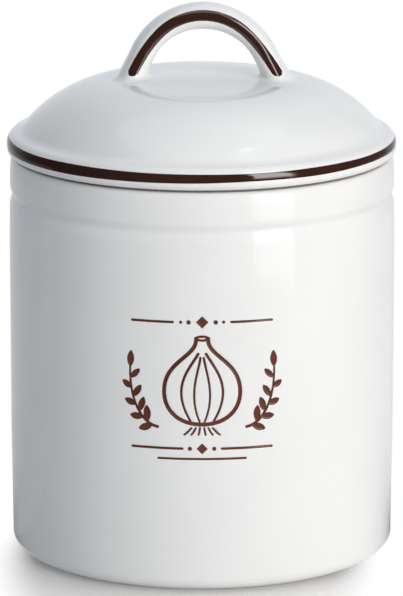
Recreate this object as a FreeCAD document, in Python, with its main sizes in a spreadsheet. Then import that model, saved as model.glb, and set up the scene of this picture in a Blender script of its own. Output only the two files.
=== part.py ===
import FreeCAD, Part

# Garlic keeper: a slip-cast pot, its domed lid and the strap handle stuck to the lid, in millimetres.
# Z runs up the middle of the pot, the foot ring stands on Z = 0, the handle's arch lies in the XZ plane
# and the air holes face +Y.

import math
import os

import Sketcher

Vector = FreeCAD.Vector
TINY = 1e-4

# Every size that can be set by itself: its name in the sheet, its value and what it measures.
SIZES = (
    ("pot_diameter", 120.0, "across the straight wall of the pot"),
    ("pot_height", 124.3, "from the foot to the rim"),
    ("pot_wall", 4.5, "thickness of the pot's wall"),
    ("pot_floor", 4.8, "thickness of the floor"),
    ("pot_corner_radius", 4.0, "outside corner between wall and foot"),
    ("pot_hollow_radius", 6.0, "inside corner between wall and floor"),
    ("foot_ring_width", 4.5, "width of the ring that the pot stands on"),
    ("foot_recess", 1.2, "how far the underside is hollowed inside the foot ring"),
    ("foot_bevel", 0.8, "bevel on the foot ring's inner edge"),
    ("lip_lead", 6.0, "height over which the collar leans in to the rim"),
    ("lip_inset", 0.9, "how far the rim's outer edge lies inside the wall"),
    ("lip_radius", 1.8, "rounding of the rim's outer edge"),
    ("lip_bevel", 0.9, "bevel on the rim's inner edge"),
    ("waist_drop", 11.1, "from the rim down to the waist"),
    ("waist_depth", 1.2, "how far the waist lies inside the wall"),
    ("waist_lead", 6.0, "height over which the wall leans in to the waist"),
    ("collar_lead", 3.0, "height over which the wall comes back out to the collar"),
    ("wall_blend", 16.0, "rounding where the wall starts to lean in"),
    ("waist_blend", 4.0, "rounding in the bottom of the waist"),
    ("collar_blend", 6.0, "roundings where the collar starts and where it leans in"),
    ("vent_diameter", 7.0, "diameter of an air hole"),
    ("vent_circle_radius", 13.0, "radius of the ring of air holes"),
    ("vent_height", 62.0, "from the foot to the middle air hole"),
    ("lid_gap", 0.3, "between the pot's rim and the lid's seat"),
    ("lid_overhang", 0.4, "how far the brim stands out past the pot's wall"),
    ("lid_wall", 4.5, "thickness of the dome"),
    ("dome_height", 25.0, "from the seat to the top of the dome"),
    ("crown_reach", 27.5, "from the axis to where the crown's arc meets the shoulder's"),
    ("crown_drop", 1.32, "how far the crown's arc falls over its reach"),
    ("brim_height", 7.6, "from the seat to the top of the brim"),
    ("brim_ledge", 4.0, "width of the brim outside the dome"),
    ("bead_radius", 3.6, "rounding of the brim's top edge"),
    ("cove_radius", 1.8, "hollow where dome and brim meet"),
    ("brim_edge_radius", 2.5, "rounding of the brim's bottom edge"),
    ("spigot_clearance", 0.8, "between the lid's spigot and the pot's wall, all round"),
    ("spigot_thickness", 4.0, "thickness of the spigot's wall"),
    ("spigot_depth", 7.0, "how far the spigot reaches down from the seat"),
    ("spigot_bevel", 1.0, "bevel on the spigot's bottom edges"),
    ("glaze_depth", 0.3, "thickness of the dark glaze bands"),
    ("rim_line_height", 2.7, "height of the dark band round the brim"),
    ("rim_line_lap", 1.8, "how far that band laps on to the rounded top edge"),
    ("arch_rise", 18.1, "from the top of the dome up to the handle's centre line at its crown"),
    ("arch_radius", 20.85, "radius of the centre line's arc"),
    ("leg_spread", 26.0, "how far the legs below the arc lean out, in degrees"),
    ("arch_sink", 5.0, "how far the legs' ends lie below the top of the dome"),
    ("springing_rise", 8.0, "from the legs' ends up to where their flare ends"),
    ("haunch_angle", 45.0, "the handle's section halfway up the arch, in degrees"),
    ("foot_depth", 18.5, "depth of the handle in Y at its foot"),
    ("foot_thickness", 10.2, "thickness of the handle at its foot"),
    ("springing_depth", 14.0, "depth at the springing"),
    ("springing_thickness", 8.2, "thickness at the springing"),
    ("haunch_depth", 12.0, "depth at the haunch"),
    ("haunch_thickness", 7.8, "thickness at the haunch"),
    ("crown_depth", 11.8, "depth at the top of the arch"),
    ("crown_thickness", 8.2, "thickness at the top of the arch"),
    ("handle_line_width", 2.8, "width of the dark band on the handle's edge"),
    ("handle_line_rise", 0.55, "how far the band's middle lies above the centre line at the crown"),
    ("handle_line_tuck", 1.4, "how much smaller the radius of the band's arc is"),
    ("handle_line_lean", 8.6, "how much more the band's legs lean out, in degrees"),
    ("handle_line_stop", 0.3, "from the top of the dome up to the band's ends"),
    ("handle_line_end_radius", 1.0, "rounding of the band's ends"),
)
VENTS_ON_CIRCLE = 6

# Heights and radii that several pieces share, as formulas over the sheet.
POT_RADIUS = "Sizes.pot_diameter / 2"
POT_BORE = f"({POT_RADIUS} - Sizes.pot_wall)"
WAIST = "(Sizes.pot_height - Sizes.waist_drop)"
FLOOR_TOP = "(Sizes.foot_recess + Sizes.pot_floor)"
LID_RADIUS = f"({POT_RADIUS} + Sizes.lid_overhang)"
DOME_FOOT = f"({LID_RADIUS} - Sizes.brim_ledge)"
SEAT = "(Sizes.pot_height + Sizes.lid_gap)"
DOME_TOP = f"({SEAT} + Sizes.dome_height)"
BRIM_TOP = f"({SEAT} + Sizes.brim_height)"
BEAD_FOOT = f"({BRIM_TOP} - Sizes.bead_radius)"
SPIGOT_RADIUS = f"({POT_BORE} - Sizes.spigot_clearance)"
SPIGOT_BORE = f"({SPIGOT_RADIUS} - Sizes.spigot_thickness)"
ARCH_FOOT = f"({DOME_TOP} - Sizes.arch_sink)"
ARCH_CENTRE = f"({DOME_TOP} + Sizes.arch_rise - Sizes.arch_radius)"
LINE_RADIUS = "(Sizes.arch_radius - Sizes.handle_line_tuck)"
LINE_SPREAD = "(Sizes.leg_spread + Sizes.handle_line_lean)"
LINE_CENTRE = f"({DOME_TOP} + Sizes.arch_rise + Sizes.handle_line_rise - {LINE_RADIUS})"
LINE_FOOT = f"({DOME_TOP} + Sizes.handle_line_stop)"


# --- sheet, bodies and sketches ---------------------------------------------------------------------


def make_sheet(doc):
    sheet = doc.addObject("Spreadsheet::Sheet", "Sizes")
    for row, (alias, value, meaning) in enumerate(SIZES, 1):
        sheet.set(f"A{row}", alias)
        sheet.set(f"B{row}", str(value))
        sheet.set(f"C{row}", meaning)
        sheet.setAlias(f"B{row}", alias)
    doc.recompute()
    return sheet


def make_body(doc, label):
    body = doc.addObject("PartDesign::Body", label)
    body.Label = label
    return body


def sketch_on(body, role, name):
    """An empty sketch on one of the body's own origin planes."""
    sketch = body.newObject("Sketcher::SketchObject", name)
    origin_plane = next(plane for plane in body.Origin.OriginFeatures if plane.Role == role)
    sketch.AttachmentSupport = (origin_plane, [""])
    sketch.MapMode = "FlatFace"
    return sketch


def bind(sketch, kind, *where, formula):
    """A dimension of the sketch that follows a formula over the sheet."""
    index = sketch.addConstraint(Sketcher.Constraint(kind, *where, sketch.evalExpression(formula)))
    sketch.setExpression(f"Constraints[{index}]", formula)


def pin(sketch, end, across, up):
    """Hold one end of an edge at a distance from the axis and at a height."""
    if across == "0":
        sketch.addConstraint(Sketcher.Constraint("PointOnObject", *end, -2))
    else:
        bind(sketch, "DistanceX", -1, 1, *end, formula=across)
    if up == "0":
        sketch.addConstraint(Sketcher.Constraint("PointOnObject", *end, -1))
    else:
        bind(sketch, "DistanceY", -1, 1, *end, formula=up)


def place(sketch, corner):
    """The point that a pair of formulas, across and up, gives at the sheet's present values."""
    return Vector(sketch.evalExpression(corner[0]), sketch.evalExpression(corner[1]), 0)


def add_line(sketch, start, end):
    """A line, as its two ends in the order of travel."""
    edge = sketch.addGeometry(Part.LineSegment(start, end), False)
    return (edge, 1), (edge, 2)


def add_arc(sketch, start, end, radius, turn):
    """An arc that turns left or right on its way from start to end, as its two ends in the order of travel."""
    chord = end - start
    side = Vector(-chord.y, chord.x, 0).normalize()
    height = math.sqrt(max(radius**2 - (chord.Length / 2) ** 2, 0))
    centre = (start + end) / 2 + side * (height if turn == "left" else -height)
    first, last = (start, end) if turn == "left" else (end, start)
    angles = [math.atan2(point.y - centre.y, point.x - centre.x) for point in (first, last)]
    if angles[1] < angles[0]:
        angles[1] += 2 * math.pi
    circle = Part.Circle(centre, Vector(0, 0, 1), radius)
    edge = sketch.addGeometry(Part.ArcOfCircle(circle, *angles), False)
    return ((edge, 1), (edge, 2)) if turn == "left" else ((edge, 2), (edge, 1))


def draw_outline(sketch, corners, arcs, closed=True):
    """Edges through pinned corners. arcs maps the corner where an arc starts to its radius and turn."""
    ends = []
    for number, corner in enumerate(corners if closed else corners[:-1]):
        start = place(sketch, corner)
        end = place(sketch, corners[(number + 1) % len(corners)])
        if number in arcs:
            radius, turn = arcs[number]
            ends.append(add_arc(sketch, start, end, sketch.evalExpression(radius), turn))
            bind(sketch, "Radius", ends[-1][0][0], formula=radius)
        else:
            ends.append(add_line(sketch, start, end))
        pin(sketch, ends[-1][0], *corner)
    if not closed:
        pin(sketch, ends[-1][1], *corners[-1])
    for number in range(0 if closed else 1, len(ends)):
        sketch.addConstraint(Sketcher.Constraint("Coincident", *ends[number - 1][1], *ends[number][0]))


def turn_about_axis(body, kind, sketch, name):
    """A full turn of the sketch about its vertical axis, added to the body or cut from it."""
    feature = body.newObject(kind, name)
    feature.Profile = (sketch, [""])
    feature.ReferenceAxis = (sketch, ["V_Axis"])
    feature.Angle = 360
    return feature


def ring_edge(shape, radius, height):
    """The name of the round edge of this radius and height about the Z axis."""
    for number, edge in enumerate(shape.Edges, 1):
        if edge.Degenerated or edge.Curve.TypeId != "Part::GeomCircle":
            continue
        centre = edge.Curve.Center
        if abs(edge.Curve.Radius - radius) < TINY and centre.distanceToPoint(Vector(0, 0, height)) < TINY:
            return f"Edge{number}"
    raise ValueError(f"no round edge of radius {radius:.3f} at height {height:.3f}")


def round_edges(body, base, names, radius, name):
    """A fillet of the named edges, with a radius from the sheet."""
    fillet = body.newObject("PartDesign::Fillet", name)
    fillet.Base = (base, names)
    fillet.setExpression("Radius", radius)
    body.Document.recompute()
    return fillet


# --- pot --------------------------------------------------------------------------------------------


def pot_section(body):
    """Half of the pot's section: foot ring, wall with its waist and collar, rim and hollow."""
    foot_edge = f"{POT_RADIUS} - Sizes.pot_corner_radius"
    foot_inside = f"{foot_edge} - Sizes.foot_ring_width"
    corners = (
        ("0", "Sizes.foot_recess"),
        (foot_inside, "Sizes.foot_recess"),
        (foot_inside, "Sizes.foot_bevel"),
        (f"{foot_inside} + Sizes.foot_bevel", "0"),
        (foot_edge, "0"),
        (POT_RADIUS, "Sizes.pot_corner_radius"),
        (POT_RADIUS, f"{WAIST} - Sizes.waist_lead"),
        (f"{POT_RADIUS} - Sizes.waist_depth", WAIST),
        (POT_RADIUS, f"{WAIST} + Sizes.collar_lead"),
        (POT_RADIUS, "Sizes.pot_height - Sizes.lip_lead"),
        (f"{POT_RADIUS} - Sizes.lip_inset", "Sizes.pot_height"),
        (f"{POT_BORE} + Sizes.lip_bevel", "Sizes.pot_height"),
        (POT_BORE, "Sizes.pot_height - Sizes.lip_bevel"),
        (POT_BORE, f"{FLOOR_TOP} + Sizes.pot_hollow_radius"),
        (f"{POT_BORE} - Sizes.pot_hollow_radius", FLOOR_TOP),
        ("0", FLOOR_TOP),
    )
    arcs = {
        4: ("Sizes.pot_corner_radius", "left"),
        13: ("Sizes.pot_hollow_radius", "right"),
    }
    sketch = sketch_on(body, "XZ_Plane", "pot_section")
    draw_outline(sketch, corners, arcs)
    return sketch


def soften_wall(body, turned, sheet):
    """Roundings that make the waist one soft hollow and the collar a soft swelling up to the rim."""
    radius = sheet.pot_diameter / 2
    waist = sheet.pot_height - sheet.waist_drop
    blends = (
        ("wall_blend", radius, waist - sheet.waist_lead),
        ("waist_blend", radius - sheet.waist_depth, waist),
        ("collar_blend", radius, waist + sheet.collar_lead),
        ("collar_blend", radius, sheet.pot_height - sheet.lip_lead),
        ("lip_radius", radius - sheet.lip_inset, sheet.pot_height),
    )
    base = turned
    for number, (alias, edge_radius, height) in enumerate(blends, 1):
        edge = ring_edge(base.Shape, edge_radius, height)
        base = round_edges(body, base, [edge], f"Sizes.{alias}", f"wall_rounding_{number}")
    return base


def vent_pocket(body, name, across):
    """One air hole through the back wall, at a distance from the middle of the group."""
    sketch = sketch_on(body, "XZ_Plane", f"{name}_outline")
    sketch.setExpression(".AttachmentOffset.Base.y", "Sizes.vent_height")
    middle = Vector(sketch.evalExpression(across), 0, 0)
    radius = sketch.evalExpression("Sizes.vent_diameter / 2")
    sketch.addGeometry(Part.Circle(middle, Vector(0, 0, 1), radius), False)
    bind(sketch, "Diameter", 0, formula="Sizes.vent_diameter")
    pin(sketch, (0, 3), across, "0")
    pocket = body.newObject("PartDesign::Pocket", name)
    pocket.Profile = (sketch, [""])
    pocket.Type = "ThroughAll"
    body.Document.recompute()
    return sketch, pocket


def cut_vents(body, base, sheet):
    """Air holes through the back wall: one in the middle and a ring of them round it."""
    solid = base.Shape.Volume
    vent_pocket(body, "middle_vent", "0")
    outline, first_vent = vent_pocket(body, "ring_vent", "Sizes.vent_circle_radius")
    ring = body.newObject("PartDesign::PolarPattern", "ring_of_vents")
    ring.Originals = [first_vent]
    ring.Axis = (outline, ["N_Axis"])
    ring.Angle = 360
    ring.Occurrences = VENTS_ON_CIRCLE
    body.Tip = ring
    body.Document.recompute()
    one_vent = math.pi * (sheet.vent_diameter / 2) ** 2 * sheet.pot_wall
    if solid - ring.Shape.Volume < VENTS_ON_CIRCLE * one_vent:
        raise ValueError("the air holes don't go through the back wall")


def make_pot(doc, sheet):
    body = make_body(doc, "pot")
    turned = turn_about_axis(body, "PartDesign::Revolution", pot_section(body), "pot_turned")
    doc.recompute()
    cut_vents(body, soften_wall(body, turned, sheet), sheet)
    return body


# --- lid --------------------------------------------------------------------------------------------


def dome_radii(sheet):
    """The radius of the crown's arc, and the radius of the shoulder's, which leaves the crown smoothly."""
    reach, drop = sheet.crown_reach, sheet.crown_drop
    crown_radius = (reach**2 + drop**2) / (2 * drop)
    slope = math.asin(reach / crown_radius)
    across = sheet.pot_diameter / 2 + sheet.lid_overhang - sheet.brim_ledge - reach
    fall = sheet.dome_height - drop - sheet.brim_height
    shoulder_radius = (across**2 + fall**2) / (2 * (fall * math.cos(slope) - across * math.sin(slope)))
    return crown_radius, shoulder_radius


def draw_dome(sketch, sheet):
    """The dome's outside: the crown's arc and the shoulder's, as a pair of ends for each."""
    join = ("Sizes.crown_reach", f"{DOME_TOP} - Sizes.crown_drop")
    top, middle, foot = [place(sketch, corner) for corner in (("0", DOME_TOP), join, (DOME_FOOT, BRIM_TOP))]
    crown_radius, shoulder_radius = dome_radii(sheet)
    crown = add_arc(sketch, top, middle, crown_radius, "right")
    shoulder = add_arc(sketch, middle, foot, shoulder_radius, "right")
    pin(sketch, crown[0], "0", DOME_TOP)
    pin(sketch, shoulder[0], *join)
    pin(sketch, shoulder[1], DOME_FOOT, BRIM_TOP)
    sketch.addConstraint(Sketcher.Constraint("PointOnObject", crown[0][0], 3, -2))
    sketch.addConstraint(Sketcher.Constraint("Tangent", *crown[1], *shoulder[0]))
    return crown, shoulder


def draw_hollow(sketch, crown, shoulder):
    """The dome's inside, one wall below the outside and about the same centres."""
    wall = Vector(0, sketch.evalExpression("Sizes.lid_wall"), 0)
    bore = sketch.evalExpression(SPIGOT_BORE)
    top, middle = sketch.getPoint(*crown[0]), sketch.getPoint(*shoulder[0])
    crown_centre, centre = sketch.getPoint(crown[0][0], 3), sketch.getPoint(shoulder[0][0], 3)
    radius = centre.distanceToPoint(middle) - wall.y
    join = centre + (middle - centre).normalize() * radius
    end = Vector(bore, centre.y + math.sqrt(radius**2 - (bore - centre.x) ** 2), 0)
    inner_crown = add_arc(sketch, top - wall, join, crown_centre.distanceToPoint(top) - wall.y, "right")
    inner_shoulder = add_arc(sketch, join, end, radius, "right")
    pin(sketch, inner_crown[0], "0", f"{DOME_TOP} - Sizes.lid_wall")
    bind(sketch, "DistanceX", -1, 1, *inner_shoulder[1], formula=SPIGOT_BORE)
    sketch.addConstraint(Sketcher.Constraint("Coincident", inner_crown[0][0], 3, crown[0][0], 3))
    sketch.addConstraint(Sketcher.Constraint("Vertical", inner_shoulder[0][0], 3, shoulder[0][0], 3))
    sketch.addConstraint(Sketcher.Constraint("Horizontal", inner_shoulder[0][0], 3, shoulder[0][0], 3))
    sketch.addConstraint(Sketcher.Constraint("Coincident", *inner_crown[1], *inner_shoulder[0]))
    return inner_crown, inner_shoulder


def join_through(sketch, first_end, corners, last_end, arcs):
    """Edges from one drawn end through pinned corners to another. arcs maps an edge's number to its radius."""
    points = [place(sketch, corner) for corner in corners]
    points = [sketch.getPoint(*first_end), *points, sketch.getPoint(*last_end)]
    end_before = first_end
    for number in range(len(corners) + 1):
        start, end = points[number : number + 2]
        if number in arcs:
            edge = add_arc(sketch, start, end, sketch.evalExpression(arcs[number]), "right")
            bind(sketch, "Radius", edge[0][0], formula=arcs[number])
        else:
            edge = add_line(sketch, start, end)
        sketch.addConstraint(Sketcher.Constraint("Coincident", *end_before, *edge[0]))
        if number < len(corners):
            pin(sketch, edge[1], *corners[number])
        end_before = edge[1]
    sketch.addConstraint(Sketcher.Constraint("Coincident", *end_before, *last_end))


def lid_section(body, sheet):
    """Half of the lid's section: dome, rounded brim, seat, spigot and hollow."""
    sketch = sketch_on(body, "XZ_Plane", "lid_section")
    crown, shoulder = draw_dome(sketch, sheet)
    inner_crown, inner_shoulder = draw_hollow(sketch, crown, shoulder)
    spigot_foot = f"{SEAT} - Sizes.spigot_depth"
    corners = (
        (f"{LID_RADIUS} - Sizes.bead_radius", BRIM_TOP),
        (LID_RADIUS, BEAD_FOOT),
        (LID_RADIUS, f"{SEAT} + Sizes.brim_edge_radius"),
        (f"{LID_RADIUS} - Sizes.brim_edge_radius", SEAT),
        (SPIGOT_RADIUS, SEAT),
        (SPIGOT_RADIUS, f"{spigot_foot} + Sizes.spigot_bevel"),
        (f"{SPIGOT_RADIUS} - Sizes.spigot_bevel", spigot_foot),
        (f"{SPIGOT_BORE} + Sizes.spigot_bevel", spigot_foot),
        (SPIGOT_BORE, f"{spigot_foot} + Sizes.spigot_bevel"),
    )
    rounded = {1: "Sizes.bead_radius", 3: "Sizes.brim_edge_radius"}
    join_through(sketch, shoulder[1], corners, inner_shoulder[1], rounded)
    join_through(sketch, inner_crown[0], (), crown[0], {})
    return sketch


def make_dome_form(doc, sheet):
    """The dome as a full solid, which the handle's feet are cut to."""
    body = make_body(doc, "dome_form")
    sketch = sketch_on(body, "XZ_Plane", "dome_form_section")
    crown, shoulder = draw_dome(sketch, sheet)
    join_through(sketch, shoulder[1], ((DOME_FOOT, SEAT), ("0", SEAT)), crown[0], {})
    turn_about_axis(body, "PartDesign::Revolution", sketch, "dome_form_turned")
    doc.recompute()
    return body


def hollow_cove(body, turned, sheet):
    """The rounded hollow where the dome meets the brim."""
    brim_inside = sheet.pot_diameter / 2 + sheet.lid_overhang - sheet.brim_ledge
    brim_top = sheet.pot_height + sheet.lid_gap + sheet.brim_height
    round_edges(body, turned, [ring_edge(turned.Shape, brim_inside, brim_top)], "Sizes.cove_radius", "cove")


def rim_line_section(body, name, outer_radius, laps_bead):
    """Section of the dark band round the brim, from its inner face out to outer_radius."""
    top = f"({BEAD_FOOT} + Sizes.rim_line_lap)"
    bottom = f"({top} - Sizes.rim_line_height)"
    inner_face = f"{LID_RADIUS} - Sizes.glaze_depth"
    inner_arc = "(Sizes.bead_radius - Sizes.glaze_depth)"
    bead_centre = f"{LID_RADIUS} - Sizes.bead_radius"
    inner_top = f"{bead_centre} + sqrt({inner_arc} ^ 2 - Sizes.rim_line_lap ^ 2)"
    outer_top = f"{bead_centre} + sqrt(Sizes.bead_radius ^ 2 - Sizes.rim_line_lap ^ 2)"
    sketch = sketch_on(body, "XZ_Plane", name)
    if laps_bead:
        outside = ((outer_radius, bottom), (outer_radius, BEAD_FOOT), (outer_top, top))
        arcs = {2: ("Sizes.bead_radius", "left"), 4: (inner_arc, "right")}
    else:
        outside = ((outer_radius, bottom), (outer_radius, top))
        arcs = {3: (inner_arc, "right")}
    inside = ((inner_top, top), (inner_face, BEAD_FOOT))
    draw_outline(sketch, ((inner_face, bottom), *outside, *inside), arcs)
    return sketch


def make_lid(doc, sheet):
    body = make_body(doc, "lid")
    turned = turn_about_axis(body, "PartDesign::Revolution", lid_section(body, sheet), "lid_turned")
    doc.recompute()
    hollow_cove(body, turned, sheet)
    past_brim = f"{LID_RADIUS} + Sizes.glaze_depth"
    band = rim_line_section(body, "rim_line_groove_section", past_brim, laps_bead=False)
    turn_about_axis(body, "PartDesign::Groove", band, "rim_line_groove")
    doc.recompute()
    return body


def make_rim_line(doc):
    """The dark glaze band round the brim, flush with the lid."""
    body = make_body(doc, "lid_rim_line")
    band = rim_line_section(body, "rim_line_section", LID_RADIUS, laps_bead=True)
    turn_about_axis(body, "PartDesign::Revolution", band, "rim_line_turned")
    doc.recompute()
    return body


# --- handle -----------------------------------------------------------------------------------------


def arch_side(radius, centre, spread, foot):
    """The right side of an arch: where its arc ends and where the straight leg below the arc ends."""
    arc_end = (f"({radius} * cos({spread}))", f"({centre} + {radius} * sin({spread}))")
    leg_end = (f"({arc_end[0]} + ({arc_end[1]} - {foot}) * tan({spread}))", foot)
    return arc_end, leg_end


def mirrored(corner):
    """The same corner on the left side of the arch."""
    return f"-{corner[0]}", corner[1]


def arch_path(body):
    """The handle's centre line, from the right foot over to the left one."""
    sketch = sketch_on(body, "XZ_Plane", "arch_path")
    arc_end, leg_end = arch_side("Sizes.arch_radius", ARCH_CENTRE, "Sizes.leg_spread", ARCH_FOOT)
    corners = (leg_end, arc_end, mirrored(arc_end), mirrored(leg_end))
    draw_outline(sketch, corners, {1: ("Sizes.arch_radius", "left")}, closed=False)
    return sketch


def arch_section(body, name, middle, angle, depth, thickness):
    """An oval section square to the arch, round a point of its centre line."""
    sketch = sketch_on(body, "XY_Plane", name)
    sketch.AttachmentOffset = FreeCAD.Placement(Vector(), FreeCAD.Rotation(Vector(0, 1, 0), -1))
    sketch.setExpression(".AttachmentOffset.Base.x", middle[0])
    sketch.setExpression(".AttachmentOffset.Base.z", middle[1])
    sketch.setExpression(".AttachmentOffset.Rotation.Angle", f"-({angle})")
    nose = Vector(0, sketch.evalExpression(depth) / 2, 0)
    side = Vector(sketch.evalExpression(thickness) / 2, 0, 0)
    oval = sketch.addGeometry(Part.Ellipse(nose, side, Vector()), False)
    sketch.exposeInternalGeometry(oval)
    depth_line, thickness_line = oval + 1, oval + 2
    sketch.addConstraint(Sketcher.Constraint("Coincident", oval, 3, -1, 1))
    sketch.addConstraint(Sketcher.Constraint("Vertical", depth_line))
    bind(sketch, "Distance", depth_line, formula=depth)
    bind(sketch, "Distance", thickness_line, formula=thickness)
    return sketch


def make_bar(doc, label, skin):
    """The handle's full arch, its surface lying a skin's thickness inside the finished one."""
    body = make_body(doc, label)
    path = arch_path(body)
    spread = "Sizes.leg_spread"
    arc_end, foot = arch_side("Sizes.arch_radius", ARCH_CENTRE, spread, ARCH_FOOT)
    springing = (f"({foot[0]} - Sizes.springing_rise * tan({spread}))", f"({foot[1]} + Sizes.springing_rise)")
    haunch, _ = arch_side("Sizes.arch_radius", ARCH_CENTRE, "Sizes.haunch_angle", ARCH_FOOT)
    crown, _ = arch_side("Sizes.arch_radius", ARCH_CENTRE, "90", ARCH_FOOT)
    stations = (
        ("right_foot", foot, spread, "foot"),
        ("right_springing", springing, spread, "springing"),
        ("right_haunch", haunch, "Sizes.haunch_angle", "haunch"),
        ("crown", crown, "90", "crown"),
        ("left_haunch", mirrored(haunch), "180 - Sizes.haunch_angle", "haunch"),
        ("left_springing", mirrored(springing), f"180 - {spread}", "springing"),
        ("left_foot", mirrored(foot), f"180 - {spread}", "foot"),
    )
    sections = []
    for name, middle, angle, size in stations:
        depth = f"Sizes.{size}_depth - 2 * {skin}"
        thickness = f"Sizes.{size}_thickness - 2 * {skin}"
        sections.append(arch_section(body, name, middle, angle, depth, thickness))
    doc.recompute()
    pipe = body.newObject("PartDesign::AdditivePipe", f"{label}_sweep")
    pipe.Profile = (sections[0], [""])
    pipe.Spine = (path, [""])
    pipe.Transformation = "Multisection"
    pipe.Sections = [(section, [""]) for section in sections[1:]]
    doc.recompute()
    return body


def make_line_window(doc, label, behind):
    """The block that a handle line is taken from: the line's outline, deeper than the handle's edge."""
    body = make_body(doc, label)
    sketch = sketch_on(body, "XZ_Plane", f"{label}_outline")
    outer = f"({LINE_RADIUS} + Sizes.handle_line_width / 2)"
    inner = f"({LINE_RADIUS} - Sizes.handle_line_width / 2)"
    outer_arc_end, outer_foot = arch_side(outer, LINE_CENTRE, LINE_SPREAD, LINE_FOOT)
    inner_arc_end, inner_foot = arch_side(inner, LINE_CENTRE, LINE_SPREAD, LINE_FOOT)
    corners = (
        outer_foot,
        outer_arc_end,
        mirrored(outer_arc_end),
        mirrored(outer_foot),
        mirrored(inner_foot),
        mirrored(inner_arc_end),
        inner_arc_end,
        inner_foot,
    )
    draw_outline(sketch, corners, {1: (outer, "left"), 5: (inner, "right")})
    pad = body.newObject("PartDesign::Pad", f"{label}_pad")
    pad.Profile = (sketch, [""])
    pad.setExpression("Length", "Sizes.foot_depth")
    pad.Reversed = behind
    doc.recompute()
    foot_height = sketch.evalExpression(LINE_FOOT)
    ends = []
    for number, edge in enumerate(pad.Shape.Edges, 1):
        start, end = (vertex.Point for vertex in edge.Vertexes)
        if abs(start.z - foot_height) < TINY and abs(end.y - start.y) > TINY:
            ends.append(f"Edge{number}")
    round_edges(body, pad, ends, "Sizes.handle_line_end_radius", f"{label}_ends")
    return body


def make_handle(doc, dome):
    """The handle above the dome, and the dark band along each of its edges, let into its surface."""
    bar = make_bar(doc, "handle_bar", "0")
    core = make_bar(doc, "handle_core", "Sizes.glaze_depth")
    skin = combine(doc, "Part::Cut", "handle_skin", bar, core)
    lines = []
    for label, behind in (("handle_line_front", False), ("handle_line_back", True)):
        window = make_line_window(doc, f"{label}_window", behind)
        lines.append(combine(doc, "Part::Common", label, skin, window))
    above_dome = combine(doc, "Part::Cut", "handle_above_dome", bar, dome)
    grooved_in_front = combine(doc, "Part::Cut", "handle_grooved_in_front", above_dome, lines[0])
    handle = combine(doc, "Part::Cut", "lid_handle", grooved_in_front, lines[1])
    return [handle, *lines]


def combine(doc, kind, label, base, tool):
    """A boolean of two pieces."""
    result = doc.addObject(kind, label)
    result.Label = label
    result.Base = base
    result.Tool = tool
    doc.recompute()
    return result


# --- whole keeper -----------------------------------------------------------------------------------


def check(doc, pieces):
    """Stop if a feature failed or a piece isn't one valid solid."""
    for thing in doc.Objects:
        if "Invalid" in thing.State or "Error" in thing.State:
            raise ValueError(f"{thing.Label} failed: {thing.State}")
    for piece in pieces:
        if piece.Shape.isNull() or not piece.Shape.isValid() or len(piece.Shape.Solids) != 1:
            raise ValueError(f"{piece.Label} isn't one valid solid")


def main():
    doc = FreeCAD.newDocument("garlic_keeper")
    sheet = make_sheet(doc)
    pot = make_pot(doc, sheet)
    lid = make_lid(doc, sheet)
    pieces = [pot, lid, make_rim_line(doc), *make_handle(doc, make_dome_form(doc, sheet))]
    doc.recompute()
    check(doc, pieces)
    os.makedirs("parts", exist_ok=True)
    for piece in pieces:
        piece.Shape.exportStep(f"parts/{piece.Label}.step")
        box = piece.Shape.BoundBox
        print(f"{piece.Label}: {piece.Shape.Volume:.0f} mm3, Z {box.ZMin:.2f} to {box.ZMax:.2f}")


main()
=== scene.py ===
# Garlic keeper: the looks of a glazed pot, its domed lid and the handle on it. Lengths are in metres,
# the decorated front faces -Y, and angles round the pot start at the front and run towards +X.

import math

import bmesh
import bpy
import numpy as np
from mathutils import Matrix, Vector


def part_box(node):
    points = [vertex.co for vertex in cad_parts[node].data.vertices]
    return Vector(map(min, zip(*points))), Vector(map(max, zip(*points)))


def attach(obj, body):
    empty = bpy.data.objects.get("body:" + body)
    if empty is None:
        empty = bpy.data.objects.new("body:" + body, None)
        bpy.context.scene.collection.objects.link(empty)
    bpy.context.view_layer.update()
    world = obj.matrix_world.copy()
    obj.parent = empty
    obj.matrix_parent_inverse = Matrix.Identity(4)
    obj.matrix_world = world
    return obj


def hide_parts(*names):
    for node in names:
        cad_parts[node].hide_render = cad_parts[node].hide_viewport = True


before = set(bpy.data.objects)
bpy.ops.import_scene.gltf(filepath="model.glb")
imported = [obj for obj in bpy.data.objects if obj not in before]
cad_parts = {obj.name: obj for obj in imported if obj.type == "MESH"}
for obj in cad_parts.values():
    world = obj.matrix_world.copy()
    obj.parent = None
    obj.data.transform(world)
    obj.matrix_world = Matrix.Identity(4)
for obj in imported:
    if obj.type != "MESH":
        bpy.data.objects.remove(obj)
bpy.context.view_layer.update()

MM = 0.001
_, POT_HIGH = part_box("pot")
LID_LOW, LID_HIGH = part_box("lid")
PROFILE_STEP = 2.5 * MM
ROUNDING_STEP = math.radians(7.0)

# Pot.
POT_RADIUS = POT_HIGH.x
POT_HEIGHT = POT_HIGH.z
POT_WALL = 4.5 * MM
POT_SHIFT = 0.16 * MM
FOOT_CORNER = 4.0 * MM
FOOT_TAPER = 0.5 * MM
FOOT_RING_WIDTH = 4.5 * MM
FOOT_RING_SLOPE = 0.9 * MM
FOOT_RING_ROUNDING = 0.6 * MM
FOOT_RECESS = 1.2 * MM
FOOT_RECESS_ROUNDING = 0.5 * MM
FOOT_CLAY_INSET = 1.0 * MM
FOOT_CLAY_DEPTH = 0.7 * MM
FOOT_CLAY_ROUNDING = 0.12 * MM
UNGLAZED_STEP = 0.12 * MM
FLOOR_TOP = 6.0 * MM
HOLLOW_CORNER = 6.0 * MM
FLANK_LENGTH = 14.0 * MM
FLANK_INSET = 0.15 * MM
FLANK_ROUNDING = 300.0 * MM
WAIST = POT_HEIGHT - 11.7 * MM
WAIST_DEPTH = 1.05 * MM
WAIST_ROUNDING = 2.0 * MM
WAIST_LEAD = 2.6 * MM
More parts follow.
